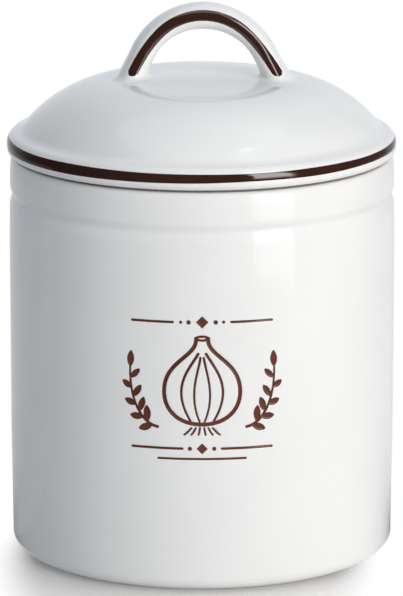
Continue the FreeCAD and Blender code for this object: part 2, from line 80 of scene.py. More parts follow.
WAIST_LEAD_ROUNDING = 8.5 * MM
COLLAR_INSET = 0.25 * MM
COLLAR_LEAD = 2.2 * MM
COLLAR_ROUNDING = 3.0 * MM
LIP_TOP = POT_HEIGHT + 0.1 * MM
LIP_LEAD = 4.0 * MM
LIP_LEAD_ROUNDING = 8.0 * MM
LIP_INSET = 0.5 * MM
LIP_ROUNDING = 1.9 * MM
LIP_INNER_ROUNDING = 1.2 * MM

# Swells of the cast wall: height, waves round the pot and their phase, and the same up the wall, where
# the waves are given by their length over 2 pi. They fade towards the foot and the waist.
SWELLS = ((0.05 * MM, 2, 0.6, 31.0 * MM, 0.4), (0.025 * MM, 5, 1.9, 17.0 * MM, 1.1))
SWELL_FADES = (15.0 * MM, 20.0 * MM)
WAIST_SAG = 0.5 * MM
WAIST_SAG_PLACE = -0.21
WAIST_SAG_SPREAD = (0.56, 4.0 * MM)

# Air holes in the back wall.
VENT_RADIUS = 3.5 * MM
VENT_EDGE_ROUNDING = 0.9 * MM
VENT_CIRCLE = 13.0 * MM
VENT_HEIGHT = 62.0 * MM
VENTS_ON_CIRCLE = 6
VENT_SIDES = 40
VENT_EDGE_START = 0.12
VENT_CUTTER_OVERRUN = 2.0 * MM

# Lid.
LID_RADIUS = LID_HIGH.x
SEAT = POT_HEIGHT + 0.3 * MM
DOME_TOP = LID_HIGH.z
LID_WALL = 4.5 * MM
CROWN_REACH = 27.5 * MM
CROWN_DROP = 1.32 * MM
SHOULDER_SWELL = 0.15 * MM
SHOULDER_SWELL_TO_RIGHT = 0.09 * MM
SHOULDER_SWELL_PLACE = 44.0 * MM
SHOULDER_SWELL_WIDTH = 9.0 * MM
BRIM_TOP = SEAT + 7.6 * MM
BRIM_LEDGE = 4.0 * MM
BRIM_UNDERSIDE = SEAT + 0.56 * MM
BRIM_EDGE_ROUNDING = 1.9 * MM
BEAD_RADIUS = 3.6 * MM
BEAD_SKIRT = 0.5 * MM
COVE_RADIUS = 6.0 * MM
SPIGOT_FOOT = LID_LOW.z
SPIGOT_RADIUS = POT_RADIUS - POT_WALL - 0.8 * MM
SPIGOT_BORE = SPIGOT_RADIUS - 4.0 * MM
SPIGOT_BORE_HEIGHT = 10.0 * MM
SPIGOT_ROUNDING = 1.2 * MM
SPIGOT_ROOT_ROUNDING = 0.3 * MM

# Bare clay under the brim: a thin layer all the way out, and the seat that stands out of it. The dark layer
# # is painted shade in the gap between lid and pot.
SEAT_INSIDE = SPIGOT_RADIUS + 0.6 * MM
SEAT_OUTSIDE = SEAT_INSIDE + 1.0 * MM
SEAT_FACE = LIP_TOP + 0.03 * MM
SEAT_ROUNDING = 0.15 * MM
SHADE_LAYER_REACH = LID_RADIUS - BRIM_EDGE_ROUNDING
SHADE_LAYER_FACE = BRIM_UNDERSIDE - 0.02 * MM
SHADE_LAYER_BACK = BRIM_UNDERSIDE + 0.3 * MM

# Dark line round the brim. Its edges waver in waves, given by height, number round the lid and phase.
RIM_LINE_HEIGHT = 2.7 * MM
RIM_LINE_LAP = 1.8 * MM
RIM_LINE_UPPER_WAVES = ((-0.12 * MM, 2, math.pi / 2), (-0.10 * MM, 1, 0), (0.04 * MM, 9, 2.0))
RIM_LINE_LOWER_WAVES = ((0.40 * MM, 1, 0), (0.05 * MM, 7, 0), (-0.04 * MM, 9, 2.0))
RIM_LINE_THICKENING = 0.13 * MM
RIM_LINE_THICK_PLACE = math.radians(328.0)
RIM_LINE_THICK_SPREAD = 0.28

# Handle: its centre line is an arc with a straight leg on each side, and its section a flattened oval.
ARCH_RADIUS = 21.05 * MM
CROWN_SHIFT = 0.4 * MM
FOOT_SHIFT = 0.78 * MM
ARCH_TOP = DOME_TOP + 18.43 * MM
ARCH_CENTRE = ARCH_TOP - ARCH_RADIUS
LEG_SPREAD = math.radians(25.5)
LEG_FOOT = DOME_TOP - 5.0 * MM
SPRINGING = LEG_FOOT + 8.0 * MM
HAUNCH_ANGLE = math.radians(45.0)
SECTION_SQUARENESS = 2.1
CROWN_SECTION = (8.3 * MM, 11.8 * MM)
HAUNCH_SECTION = (7.7 * MM, 12.0 * MM)
SPRINGING_SECTION = (7.7 * MM, 14.0 * MM)
FOOT_SECTION = (9.0 * MM, 18.5 * MM)
SECTION_EASING = 2.5 * MM

# The handle's foot: a hollow fillet, whose end is then tucked under the dome in steps. Each step gives how
# far it lies past the fillet and how far under the dome.
FOOT_FILLET = 2.5 * MM
FOOT_TUCKS = ((0, 0.008 * MM), (0.7 * MM, 0.03 * MM), (1.2 * MM, 0.25 * MM), (0, 1.0 * MM))

# Dark line on each edge of the handle: arcs, each with the angle it turns through, and then a straight end.
HANDLE_LINE_ARCS = (
    (19.2 * MM, math.radians(45.0)),
    (42.0 * MM, math.radians(12.0)),
    (120.0 * MM, math.radians(3.5)),
)
HANDLE_LINE_TOP = ARCH_TOP + 0.85 * MM
HANDLE_LINE_FOOT = DOME_TOP + 0.1 * MM
HANDLE_LINE_WIDTH = 3.3 * MM
HANDLE_LINE_WIDTH_AT_FOOT = 3.1 * MM
HANDLE_LINE_TIP = 0.02 * MM
HANDLE_LINE_LEAN = 0.45 * MM
HANDLE_LINE_WAVER = 0.05 * MM
HANDLE_LINE_WAVELENGTH = 2 * math.pi * 5.3 * MM

# Glaze lines stand a little proud in the middle and dip under the white glaze at their edges.
LINE_CROWN = 0.08 * MM
LINE_EDGE = 1.1
LINE_END_DIP = 1.4 * LINE_CROWN
LINE_BODY = 0.25 * MM

# Pressed ornament on the front.
ORNAMENT_HEIGHT = 63.6 * MM
ORNAMENT_HALF_WIDTH = 25.5 * MM
ORNAMENT_HALF_HEIGHT = 24.0 * MM
ORNAMENT_STEP = 0.25 * MM
ORNAMENT_DEPTH = 0.38 * MM
RIDGE_HEIGHT = 0.04 * MM
STAIN_LIFT = 0.02 * MM
STAIN_BODY = 0.06 * MM

# Its edge, in millimetres from its outline: the wall sinks over a short run, with a ridge outside it.
PRESSED_FROM = 0.06
PRESSED_RUN = 0.3
RIDGE_PLACE = 0.3
RIDGE_WIDTH = 0.22

# Glazes: the colour where it lies thick and where it lies thin, roughness and index of refraction.
GLAZES = {
    "white_glaze": ((0.86, 0.86, 0.852), (0.88, 0.88, 0.875), 0.09, 1.45),
    "brown_glaze": ((0.031, 0.0098, 0.0068), (0.048, 0.0165, 0.0112), 0.08, 1.8),
    "ornament_stain": ((0.115, 0.034, 0.021), (0.175, 0.058, 0.036), 0.16, 1.5),
}
# The clay is darker than the fired body: painted shade for the gap under the lid, which the foot ring shares.
CLAY_AND_SHADE_COLOURS = ((0.30, 0.255, 0.21), (0.44, 0.385, 0.33))
CLAY_ROUGHNESS = 0.85

# Noise in them: its scale in patches per metre, its detail and, for relief, its depth.
COLOUR_DRIFT = (34, 3)
SHEEN_DRIFT = (90, 2)
RIPPLE = (60, 1, 0.05 * MM)
PITTING = (900, 2, 0.002 * MM)
GRAIN = (1400, 4, 0.03 * MM)

# Values of the noise at which colour and roughness reach their ends, and the roughness there, as a factor.
COLOUR_ENDS = (0.3, 0.7)
SHEEN_ENDS = (0.25, 0.75)
SHEEN_SPREAD = (0.8, 1.25)

# Camera, and the world's light. Azimuths run in degrees from the front towards +X.
CAMERA_TARGET = (0.0, 0.0, 0.07823)
CAMERA_DISTANCE = 1.6
CAMERA_ELEVATION = 13.29
CAMERA_LENS = 308.7
CAMERA_REACH = 20.0
SKY_LEVEL = 0.44
SKY_COLOUR = (0.92, 0.996, 1.066)

# Lamps: target, azimuth, elevation, distance, size, watts, colour, and whether reflections show the lamp.
LAMPS = {
    "window": ((0.0, 0.0, 0.79), 41, 0, 1.46, (0.62, 1.56), 10.8, (1.0, 0.98, 0.96), True),
    "window_spread": (CAMERA_TARGET, 38, 3, 1.6, (0.8, 0.8), 11.3, (1.0, 0.93, 0.87), False),
    "back_fill": (CAMERA_TARGET, 215, 50, 1.6, (1.0, 1.0), 4.1, (1.0, 0.98, 1.0), False),
    "top_lamp": (CAMERA_TARGET, 58, 69, 1.4, (0.16, 0.07), 0.12, (1.0, 1.0, 1.0), True),
}

# Floor. As a source of light it is grey card, with a white patch that lights the wall.
FLOOR_HALF = 4.0
FLOOR_GREY = 0.66
PATCH_CENTRE = (103.0 * MM, -36.0 * MM, 0.0)
PATCH_FADE = (30.0 * MM, 60.0 * MM)

# The shadow seen on it: the lamps' own shadow, deepened by painted shade near the object and on its left.
# # A range gives two values of what it reads, and the tones that they turn into.
CONTACT_SHADE_REACH = 90.0 * MM
CONTACT_SHADE_RANGE = (0.52, 1.0, 0.42, 1.45)
SIDE_SHADE_RANGE = (-36.0 * MM, -2.0 * MM, 0.78, 1.08)
SHADOW_TINT = (1.04, 1.0, 0.97)
FLOOR_GLOW = 0.16
SHADOW_CENTRE = (-5.0 * MM, -31.4 * MM)
SHADOW_STRETCH = 0.55
SHADOW_FADE = (45.0 * MM, 61.0 * MM)

# Cards that only reflections show: the window's foot, and greys by azimuth, which change at FLAG_STEP's
# heights from low to high ones.
TABLE_EDGE = 0.50
CARD_LIFT = 0.5 * MM
LOW_WINDOW_END = 1.40
LOW_WINDOW_SPAN = (29.5, 54.5)
LOW_WINDOW_GLOW = 1.9
FLAG_RADIUS = 0.25
FLAG_HEIGHT = 0.55
FLAG_SPAN = (50.0, 387.0)
FLAG_GAP = (50.0, 27.0)
FLAG_COLUMNS = 65
FLAG_STEP = (66.0 * MM, 86.0 * MM)
FLAG_TINT = (0.97, 1.0, 1.04)
FLAG_LOW_TONES = (
    (90, 0.04), (105, 0.10), (135, 0.70), (180, 0.82), (220, 0.55), (250, 0.25), (270, 0.06), (360, 0.04)
)
FLAG_HIGH_TONES = (
    (112, 0.05), (123, 0.10), (130, 0.40), (136, 0.45), (150, 0.80), (180, 0.90), (205, 0.80),
    (222, 0.50), (230, 0.34), (237, 0.20), (243, 0.12), (252, 0.05), (265, 0.03), (360, 0.04),
)


# --- profiles and turned shapes ---


def arc_points(centre, radius, start, stop, steps):
    """Points of an arc in the profile plane, with angles in radians from the outward direction."""
    angles = np.linspace(start, stop, steps + 1)
    return np.stack([centre[0] + radius * np.cos(angles), centre[1] + radius * np.sin(angles)], axis=-1)


def round_corner(before, corner, after, radius):
    """The points of the arc that rounds a corner."""
    back = (before - corner) / np.linalg.norm(before - corner)
    ahead = (after - corner) / np.linalg.norm(after - corner)
    half = math.acos(np.clip(back @ ahead, -1, 1)) / 2
    bisector = (back + ahead) / np.linalg.norm(back + ahead)
    centre = corner + bisector * radius / math.sin(half)
    first = corner + back * radius / math.tan(half) - centre
    last = corner + ahead * radius / math.tan(half) - centre
    turn = math.pi - 2 * half
    steps = max(2, math.ceil(turn / ROUNDING_STEP))
    shares = np.linspace(0, 1, steps + 1)[:, None]
    return centre + (np.sin((1 - shares) * turn) * first + np.sin(shares * turn) * last) / math.sin(turn)


def outline(corners):
    """A profile through corners, each given as (across, up, rounding)."""
    places = [np.array(corner[:2]) for corner in corners]
    points = [places[0][None]]
    for number in range(1, len(corners) - 1):
        rounding = corners[number][2]
        if rounding:
            points.append(round_corner(*places[number - 1 : number + 2], rounding))
        else:
            points.append(places[number][None])
    points.append(places[-1][None])
    return np.concatenate(points)


def closed_outline(corners):
    """A profile that closes on itself. It starts halfway between its last corner and its first."""
    start = (*(np.array(corners[-1][:2]) + corners[0][:2]) / 2, 0)
    return outline([start, *corners, start])[:-1]


def divided(profile):
    """The same profile with its long runs divided."""
    rows = [profile[:1]]
    for start, end in zip(profile[:-1], profile[1:]):
        count = max(1, math.ceil(np.linalg.norm(end - start) / PROFILE_STEP))
        rows.append(start + (end - start) * (np.arange(1, count + 1) / count)[:, None])
    return np.concatenate(rows)


def round_axis(across, angle, up):
    """Places at a distance from the axis, an angle round it and a height."""
    return np.stack([across * np.sin(angle), -across * np.cos(angle), up], axis=-1)


def turned(profile, angles):
    """Positions of a turned surface, by row of the profile and by angle."""
    return round_axis(profile[:, :1], angles, profile[:, 1:] + 0 * angles)


def grid_faces(rows, columns, closed_rows=False):
    """Quads over a grid whose columns run once round."""
    last = rows if closed_rows else rows - 1
    row, column = np.meshgrid(np.arange(last), np.arange(columns), indexing="ij")
    next_row, next_column = (row + 1) % rows, (column + 1) % columns
    corners = ((row, column), (row, next_column), (next_row, next_column), (next_row, column))
    return np.stack([up * columns + along for up, along in corners], axis=-1).reshape(-1, 4)


def make_piece(name, points, faces, material):
    """A smooth-shaded mesh object, with doubled points joined and its faces turned outwards."""
    mesh = bpy.data.meshes.new(name)
    mesh.from_pydata(np.asarray(points).reshape(-1, 3).tolist(), [], [list(face) for face in faces])
    work = bmesh.new()
    work.from_mesh(mesh)
    bmesh.ops.remove_doubles(work, verts=work.verts, dist=1e-7)
    bmesh.ops.recalc_face_normals(work, faces=work.faces)
    for face in work.faces:
        face.smooth = True
    work.to_mesh(mesh)
    work.free()
    mesh.materials.append(material)
    piece = bpy.data.objects.new(name, mesh)
    bpy.context.scene.collection.objects.link(piece)
    return piece


def turned_piece(name, profile, material, closed=False):
    """A piece turned all round from a profile that starts and ends on the axis, or closes on itself."""
    angles = np.linspace(0, 2 * math.pi, 256, endpoint=False)
    return make_piece(name, turned(profile, angles), grid_faces(len(profile), len(angles), closed), material)


def finish_piece(piece, body, slot, *nodes):
    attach(piece, body)
    if nodes:
        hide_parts(*nodes)


# --- materials ---


def fill(node, inputs):
    """Give each input of a node, by name or number, a value or a link to another node's output."""
    for name, value in inputs.items():
        if isinstance(value, bpy.types.NodeSocket):
            node.id_data.links.new(value, node.inputs[name])
        else:
            node.inputs[name].default_value = value


def add(tree, kind, inputs, output=0, **settings):
    """Add a shader node with its inputs and settings, and return one of its outputs."""
    node = tree.nodes.new("ShaderNode" + kind)
    for name, value in settings.items():
        setattr(node, name, value)
    fill(node, inputs)
    return node.outputs[output]


def add_place(tree):
    return add(tree, "TexCoord", {}, "Object")


def add_noise(tree, scale, detail):
    return add(tree, "TexNoise", {"Vector": add_place(tree), "Scale": scale, "Detail": detail})


def add_relief(tree, *layers):
    """The normal of a surface with layers of noise on it, each given by its scale, detail and depth."""
    before = {}
    for scale, detail, depth in layers:
        heights = add_noise(tree, scale, detail)
        normal = add(tree, "Bump", {"Strength": 1.0, "Distance": depth, "Height": heights, **before})
        before = {"Normal": normal}
    return normal


def add_range(tree, source, start, stop, low=0.0, high=1.0, **settings):
    """The source's run from start to stop, stretched to run from low to high."""
    ends = {"From Min": start, "From Max": stop, "To Min": low, "To Max": high}
    return add(tree, "MapRange", {"Value": source, **ends}, **settings)


def add_colours(tree, source, stops):
    """Colours by the source's value, each given as (value, colour)."""
    ramp = add(tree, "ValToRGB", {"Fac": source}).node
    elements = ramp.color_ramp.elements
    while len(elements) < len(stops):
        elements.new(0.5)
    for element, (value, colour) in zip(elements, stops):
        element.position = value
        element.color = (*colour, 1)
    return ramp.outputs["Color"]


def add_mix(tree, share, first, second):
    return add(tree, "MixShader", {"Fac": share, 1: first, 2: second})


def new_material(name):
    material = bpy.data.materials.new(name)
    material.use_nodes = True
    return material, material.node_tree


def show(tree, shader):
    """Show a shader in place of the one that a new material has."""
    tree.nodes.remove(tree.nodes["Principled BSDF"])
    fill(tree.nodes["Material Output"], {"Surface": shader})


def glaze(name, thick, thin, roughness, ior):
    """Glossy glaze: its colour drifts between thick and thin, and its surface ripples very slightly."""
    material, tree = new_material(name)
    colour = add_colours(tree, add_noise(tree, *COLOUR_DRIFT), tuple(zip(COLOUR_ENDS, (thick, thin))))
    spread = [roughness * share for share in SHEEN_SPREAD]
    sheen = add_range(tree, add_noise(tree, *SHEEN_DRIFT), *SHEEN_ENDS, *spread)
    relief = add_relief(tree, RIPPLE, PITTING)
    looks = {"Base Color": colour, "Roughness": sheen, "IOR": ior, "Normal": relief}
    fill(tree.nodes["Principled BSDF"], looks)
    return material


def clay(name):
    """Bare fired clay, dark as painted shade for the gap under the lid: matt, fine-grained, with darker
    specks.
    """
    material, tree = new_material(name)
    colour = add_colours(tree, add_noise(tree, *GRAIN[:2]), tuple(zip(COLOUR_ENDS, CLAY_AND_SHADE_COLOURS)))
    looks = {"Base Color": colour, "Roughness": CLAY_ROUGHNESS, "Normal": add_relief(tree, GRAIN)}
    fill(tree.nodes["Principled BSDF"], looks)
    return material


# --- ornament ---
# Shapes are functions from places on the wall (right, up), in millimetres from the ornament's middle,
# to the signed distance to the shape's edge, which is negative inside it. Each is drawn on the right
# half, and the left half mirrors it.


def bend(*controls, steps=22):
    """Points of a cubic curve."""
    share = np.linspace(0, 1, steps + 1)[:, None]
    start, first, second, end = [np.array(point, float) for point in controls]
    return (
        (1 - share) ** 3 * start
        + 3 * (1 - share) ** 2 * share * first
        + 3 * (1 - share) * share**2 * second
        + share**3 * end
    )


def stroke(line, width, tip_width=None):
    """A drawn line, which may narrow towards its end."""
    line = np.array(line, float)
    widths = np.linspace(width, tip_width if tip_width else width, len(line)) / 2

    def distance(right, up):
        nearest = np.full(np.shape(right), np.inf)
        for start, end, half in zip(line[:-1], line[1:], (widths[:-1] + widths[1:]) / 2):
            run = end - start
            share = ((right - start[0]) * run[0] + (up - start[1]) * run[1]) / (run @ run)
            share = np.clip(share, 0, 1)
            gap = np.hypot(right - start[0] - share * run[0], up - start[1] - share * run[1])
            nearest = np.minimum(nearest, gap - half)
        return nearest

    return distance


def leaf(base, heading, length, width):
    """A leaf that starts at base and points along heading, in degrees."""
    angle = math.radians(heading)
    along = np.array([math.cos(angle), math.sin(angle)])
    across = np.array([-along[1], along[0]])
    middle = np.array(base) + along * length / 2
    side_radius = (length**2 + width**2) / (4 * width)

    def distance(right, up):
        sides = []
        for sign in (-1, 1):
            centre = middle + across * sign * (side_radius - width / 2)
            sides.append(np.hypot(right - centre[0], up - centre[1]) - side_radius)
        return np.maximum(*sides)

    return distance


def dot(place, radius):
    return lambda right, up: np.hypot(right - place[0], up - place[1]) - radius


def lozenge(place, reach):
    """A square that stands on a corner, given by its middle and how far its corners are from it."""
    return lambda right, up: (abs(right - place[0]) + abs(up - place[1]) - reach) / math.sqrt(2)


def bulb_shapes():
    """A head of garlic: its outline, the lines between its cloves, its cut neck and its roots."""
    upper_side = bend((1.8, 16.2), (1.5, 10.4), (11.6, 9.2), (11.6, -0.4))
    lower_side = bend((11.6, -0.4), (11.6, -7.0), (6.6, -10.6), (0.0, -10.6))
    outer_clove = bend((1.2, 11.4), (4.0, 6.4), (9.8, 1.0), (3.5, -9.6))
    inner_clove = bend((0.5, 10.2), (1.2, 5.2), (4.3, -1.4), (0.7, -9.9))
    neck = [(1.8 * math.cos(turn), 16.2 + 0.6 * math.sin(turn)) for turn in np.linspace(-1.6, 1.6, 17)]
    shapes = [stroke(np.concatenate([upper_side, lower_side[1:]]), 1.25)]
    shapes += [stroke(outer_clove, 0.9, 0.7), stroke(inner_clove, 0.75, 0.6), stroke(neck, 0.75)]
    for spread in (0.8, 2.4, 4.0):
        root = bend((spread * 0.8, -11.7), (spread, -12.4), (spread, -12.9), (spread * 1.35, -13.8))
        shapes.append(stroke(root, 0.65))
    return shapes


def sprig_shapes():
    """A leafy sprig that rises beside the bulb."""
    stem = bend((13.6, -11.6), (18.6, -10.8), (22.6, -4.0), (22.3, 6.4), steps=36)
    shapes = [stroke(stem, 0.95, 0.6)]
    for number, share in enumerate(np.linspace(0.12, 0.88, 8)):
        place = stem[round(share * 36)]
        ahead = stem[round(share * 36) + 1] - place
        heading = math.degrees(math.atan2(ahead[1], ahead[0]))
        side = 48 if number % 2 else -44
        length = (5.4 if number % 2 else 4.6) - 0.15 * number
        shapes.append(leaf(place, heading + side, length, 2.3 - 0.06 * number))
    shapes.append(leaf(stem[-1], 93, 5.4, 2.2))
    return shapes


def rule_shapes():
    """The rules above and below, with a lozenge and dots in their middle."""
    shapes = [lozenge((0, 21.2), 1.9), dot((4.1, 21.2), 0.7), dot((6.5, 21.2), 0.5)]
    shapes.append(stroke([(8.9, 21.2), (21.6, 21.2)], 1.0, 0.55))
    shapes += [lozenge((0, -18.2), 1.7), dot((3.7, -18.2), 0.65)]
    shapes.append(stroke([(6.0, -18.2), (21.6, -18.2)], 1.0, 0.55))
    shapes.append(stroke([(0, -21.4), (13.4, -21.4)], 0.85, 0.5))
    return shapes


ORNAMENT = bulb_shapes() + sprig_shapes() + rule_shapes()


def ornament_distance(right, up):
    """Signed distance to the ornament's edge, in millimetres."""
    return np.minimum.reduce([shape(abs(right), up) for shape in ORNAMENT])


def snap_to_edge(right, up, step):
    """Grid points near the ornament's edge moved on to it, and the distances after that."""
    away = ornament_distance(right, up)
    slope_up, slope_right = np.gradient(away, step)
    steepness = slope_up**2 + slope_right**2 + 1e-9
    near = (abs(away) <= 0.5 * step) & (steepness > 0.4)
    right = right - np.where(near, away * slope_right / steepness, 0)
    up = up - np.where(near, away * slope_up / steepness, 0)
    return right, up, np.where(near, 0, away)


def ornament_triangles(right, up, away):
    """Two triangles for each cell, cut along the ornament's edge, and whether each lies inside it."""
    index = np.arange(right.size).reshape(right.shape)
    low, high = slice(None, -1), slice(1, None)
    corners = ((low, low), (low, high), (high, high), (high, low))
    on_edge = [away[corner] == 0 for corner in corners]
    cells = [index[corner] for corner in corners]
    swap = (on_edge[1] & on_edge[3])[..., None]
    halves = []
    for swapped, straight in (((0, 1, 3), (0, 1, 2)), ((1, 2, 3), (0, 2, 3))):
        choices = [np.stack([cells[corner] for corner in half], -1) for half in (swapped, straight)]
        halves.append(np.where(swap, *choices).reshape(-1, 3))
    triangles = np.concatenate(halves)
    middle_right, middle_up = right.ravel()[triangles].mean(1), up.ravel()[triangles].mean(1)
    return triangles, ornament_distance(middle_right, middle_up) < 0


def pressed_height(away):
    """How far the wall stands out, by the distance from the ornament's edge in millimetres."""
    share = np.clip((PRESSED_FROM - away) / PRESSED_RUN, 0, 1)
    ridge = RIDGE_HEIGHT * np.exp(-(((away - RIDGE_PLACE) / RIDGE_WIDTH) ** 2))
    return ridge - ORNAMENT_DEPTH * share**2 * (3 - 2 * share)


# --- pot ---


def pot_profile():
    """The pot's half section, from the middle of its underside to the middle of its floor.

    It comes in two parts, which leave out the straight wall that carries the ornament.
    """
    foot_inside = POT_RADIUS - FOOT_CORNER - FOOT_RING_WIDTH
    bore = POT_RADIUS - POT_WALL
    low = outline(
        [
            (0, FOOT_RECESS, 0),
            (foot_inside, FOOT_RECESS, FOOT_RECESS_ROUNDING),
            (foot_inside + FOOT_RING_SLOPE, UNGLAZED_STEP, FOOT_RING_ROUNDING),
            (POT_RADIUS - FOOT_TAPER, UNGLAZED_STEP, FOOT_CORNER - UNGLAZED_STEP),
            (POT_RADIUS, ORNAMENT_HEIGHT - ORNAMENT_HALF_HEIGHT, 0),
        ]
    )
    high = outline(
        [
            (POT_RADIUS, ORNAMENT_HEIGHT + ORNAMENT_HALF_HEIGHT, 0),
            (POT_RADIUS, WAIST - FLANK_LENGTH, FLANK_ROUNDING),
            (POT_RADIUS - FLANK_INSET, WAIST - WAIST_LEAD, WAIST_LEAD_ROUNDING),
            (POT_RADIUS - WAIST_DEPTH, WAIST, WAIST_ROUNDING),
            (POT_RADIUS - COLLAR_INSET, WAIST + COLLAR_LEAD, COLLAR_ROUNDING),
            (POT_RADIUS - COLLAR_INSET, POT_HEIGHT - LIP_LEAD, LIP_LEAD_ROUNDING),
            (POT_RADIUS - LIP_INSET, LIP_TOP, LIP_ROUNDING),
            (bore, LIP_TOP, LIP_INNER_ROUNDING),
            (bore, FLOOR_TOP, HOLLOW_CORNER),
            (0, FLOOR_TOP, 0),
        ]
    )
    return divided(low), divided(high)


def uneven(points):
    """Slip-cast walls are never quite true: they swell and sag by fractions of a millimetre.

    The pot also sits a little to one side under its lid.
    """
    angle = np.arctan2(points[..., 0], -points[..., 1])
    height = points[..., 2]
    out = np.clip((WAIST - height) / SWELL_FADES[1], 0, 1) * np.clip(height / SWELL_FADES[0], 0, 1)
    out *= sum(
        size * np.sin(waves * angle + phase) * np.sin(height / length + rising)
        for size, waves, phase, length, rising in SWELLS
    )
    sag = np.exp(-(((angle - WAIST_SAG_PLACE) / WAIST_SAG_SPREAD[0]) ** 2))
    sag = sag * np.exp(-(((height - WAIST) / WAIST_SAG_SPREAD[1]) ** 2))
    return points + np.stack([out * np.sin(angle) + POT_SHIFT, -out * np.cos(angle), -WAIST_SAG * sag], -1)


def pot_angles():
    """Columns round the pot, close together across the ornament."""
    half = ORNAMENT_HALF_WIDTH / POT_RADIUS
    fine = np.linspace(-half, half, round(2 * ORNAMENT_HALF_WIDTH / ORNAMENT_STEP) + 1)
    coarse = np.linspace(half, 2 * math.pi - half, 128)[1:-1]
    return np.concatenate([fine, coarse]), len(fine)


def make_pot(white, stain):
    low, high = pot_profile()
    angles, window_columns = pot_angles()
    window_rows = round(2 * ORNAMENT_HALF_HEIGHT / ORNAMENT_STEP) + 1
    levels = np.linspace(low[-1, 1], high[0, 1], window_rows)
    wall = np.stack([np.full(window_rows, POT_RADIUS), levels], axis=-1)
    profile = np.concatenate([low[:-1], wall, high[1:]])
    first_row = len(low) - 1
    points = turned(profile, angles)
    index = np.arange(len(profile) * len(angles)).reshape(len(profile), -1)
    window = (slice(first_row, first_row + window_rows), slice(0, window_columns))

    up, right = np.meshgrid(
        (levels - ORNAMENT_HEIGHT) / MM, angles[:window_columns] * POT_RADIUS / MM, indexing="ij"
    )
    right, up, away = snap_to_edge(right, up, ORNAMENT_STEP / MM)
    turn, height = right * MM / POT_RADIUS, up * MM + ORNAMENT_HEIGHT
    points[window] = round_axis(POT_RADIUS + pressed_height(away), turn, height)
    points = uneven(points)

    triangles, inside = ornament_triangles(right, up, away)
    quads = grid_faces(len(profile), len(angles))
    row, column = quads[:, 0] // len(angles), quads[:, 0] % len(angles)
    in_window = (row >= first_row) & (row < first_row + window_rows - 1) & (column < window_columns - 1)
    faces = quads[~in_window].tolist() + index[window].ravel()[triangles].tolist()
    pot = make_piece("glazed_pot", points, faces, white)
    cut_vents(pot)
    finish_piece(pot, "pot", "white_glaze", "pot")

    inlay = make_inlay(points[window].reshape(-1, 3), triangles[inside], stain)
    finish_piece(inlay, "pot", "ornament_stain")


def make_inlay(points, triangles, stain):
    """The stain in the pressed lines, as a thin closed film on the bottom of the recess."""
    used, triangles = np.unique(triangles, return_inverse=True)
    triangles = triangles.reshape(-1, 3)
    base = points[used]
    outward = base * (1, 1, 0)
    outward /= np.linalg.norm(outward, axis=1)[:, None]
    top, bottom = base + outward * STAIN_LIFT, base + outward * (STAIN_LIFT - STAIN_BODY)
    edges = np.concatenate([triangles[:, [0, 1]], triangles[:, [1, 2]], triangles[:, [2, 0]]])
    keys = {tuple(edge) for edge in edges.tolist()}
    border = [edge for edge in keys if (edge[1], edge[0]) not in keys]
    count = len(base)
    faces = triangles.tolist() + (triangles[:, ::-1] + count).tolist()
    faces += [[end, start, start + count, end + count] for start, end in sorted(border)]
    return make_piece("ornament_stain", np.concatenate([top, bottom]), faces, stain)


def vent_cutter(material):
    """One mesh of spool-shaped cutters, whose flared ends follow the wall and round each hole's edges."""
    places = [(0.0, VENT_HEIGHT)]
    for turn in np.linspace(0, 2 * math.pi, VENTS_ON_CIRCLE, endpoint=False):
        places.append((VENT_CIRCLE * math.cos(turn), VENT_HEIGHT + VENT_CIRCLE * math.sin(turn)))
    round_hole = np.linspace(0, 2 * math.pi, VENT_SIDES, endpoint=False)
    round_edge = np.linspace(VENT_EDGE_START, math.pi / 2, 8)
    sink = VENT_EDGE_ROUNDING * (1 - np.cos(round_edge))
    flare = VENT_EDGE_ROUNDING * (1 - np.sin(round_edge))
    points, faces = [], []
    for across, height in places:
        rings = []
        for wall, sign in ((POT_RADIUS, -1), (POT_RADIUS - POT_WALL, 1)):
            side = [(flare[0], -VENT_CUTTER_OVERRUN * sign), *zip(flare, sign * sink)]
            for extra, depth in side if sign < 0 else reversed(side):
                radius = VENT_RADIUS + extra
                x = across + radius * np.cos(round_hole)
                y = np.sqrt(wall**2 - x**2) + depth
                rings.append(np.stack([x, y, height + radius * np.sin(round_hole)], axis=-1))
        quads = grid_faces(len(rings), VENT_SIDES) + len(points) * VENT_SIDES
        faces += [*quads, quads[:VENT_SIDES, 0], quads[-VENT_SIDES:, 3]]
        points += rings
    return make_piece("vent_cutter", points, faces, material)


def cut_vents(pot):
    """Air holes through the back wall, cut from the mesh for good."""
    cutter = vent_cutter(pot.active_material)
    cut = pot.modifiers.new("vents", "BOOLEAN")
    cut.operation = "DIFFERENCE"
    cut.solver = "EXACT"
    cut.object = cutter
    bpy.context.view_layer.update()
    mesh = bpy.data.meshes.new_from_object(pot.evaluated_get(bpy.context.evaluated_depsgraph_get()))
    pot.modifiers.clear()
    pot.data = mesh
    bpy.data.objects.remove(cutter)


def make_foot(clay_and_shade):
    """The unglazed flat of the foot ring."""
    outside = POT_RADIUS - FOOT_CORNER
    inside = outside - FOOT_RING_WIDTH + FOOT_CLAY_INSET
    corners = [(outside, 0), (outside, FOOT_CLAY_DEPTH), (inside, FOOT_CLAY_DEPTH), (inside, 0)]
    ring = closed_outline([(*corner, FOOT_CLAY_ROUNDING) for corner in corners])
    foot = turned_piece("foot_ring_clay", ring, clay_and_shade, closed=True)
    foot.data.transform(Matrix.Translation((POT_SHIFT, 0, 0)))
    finish_piece(foot, "pot", "bare_clay")


# --- lid ---


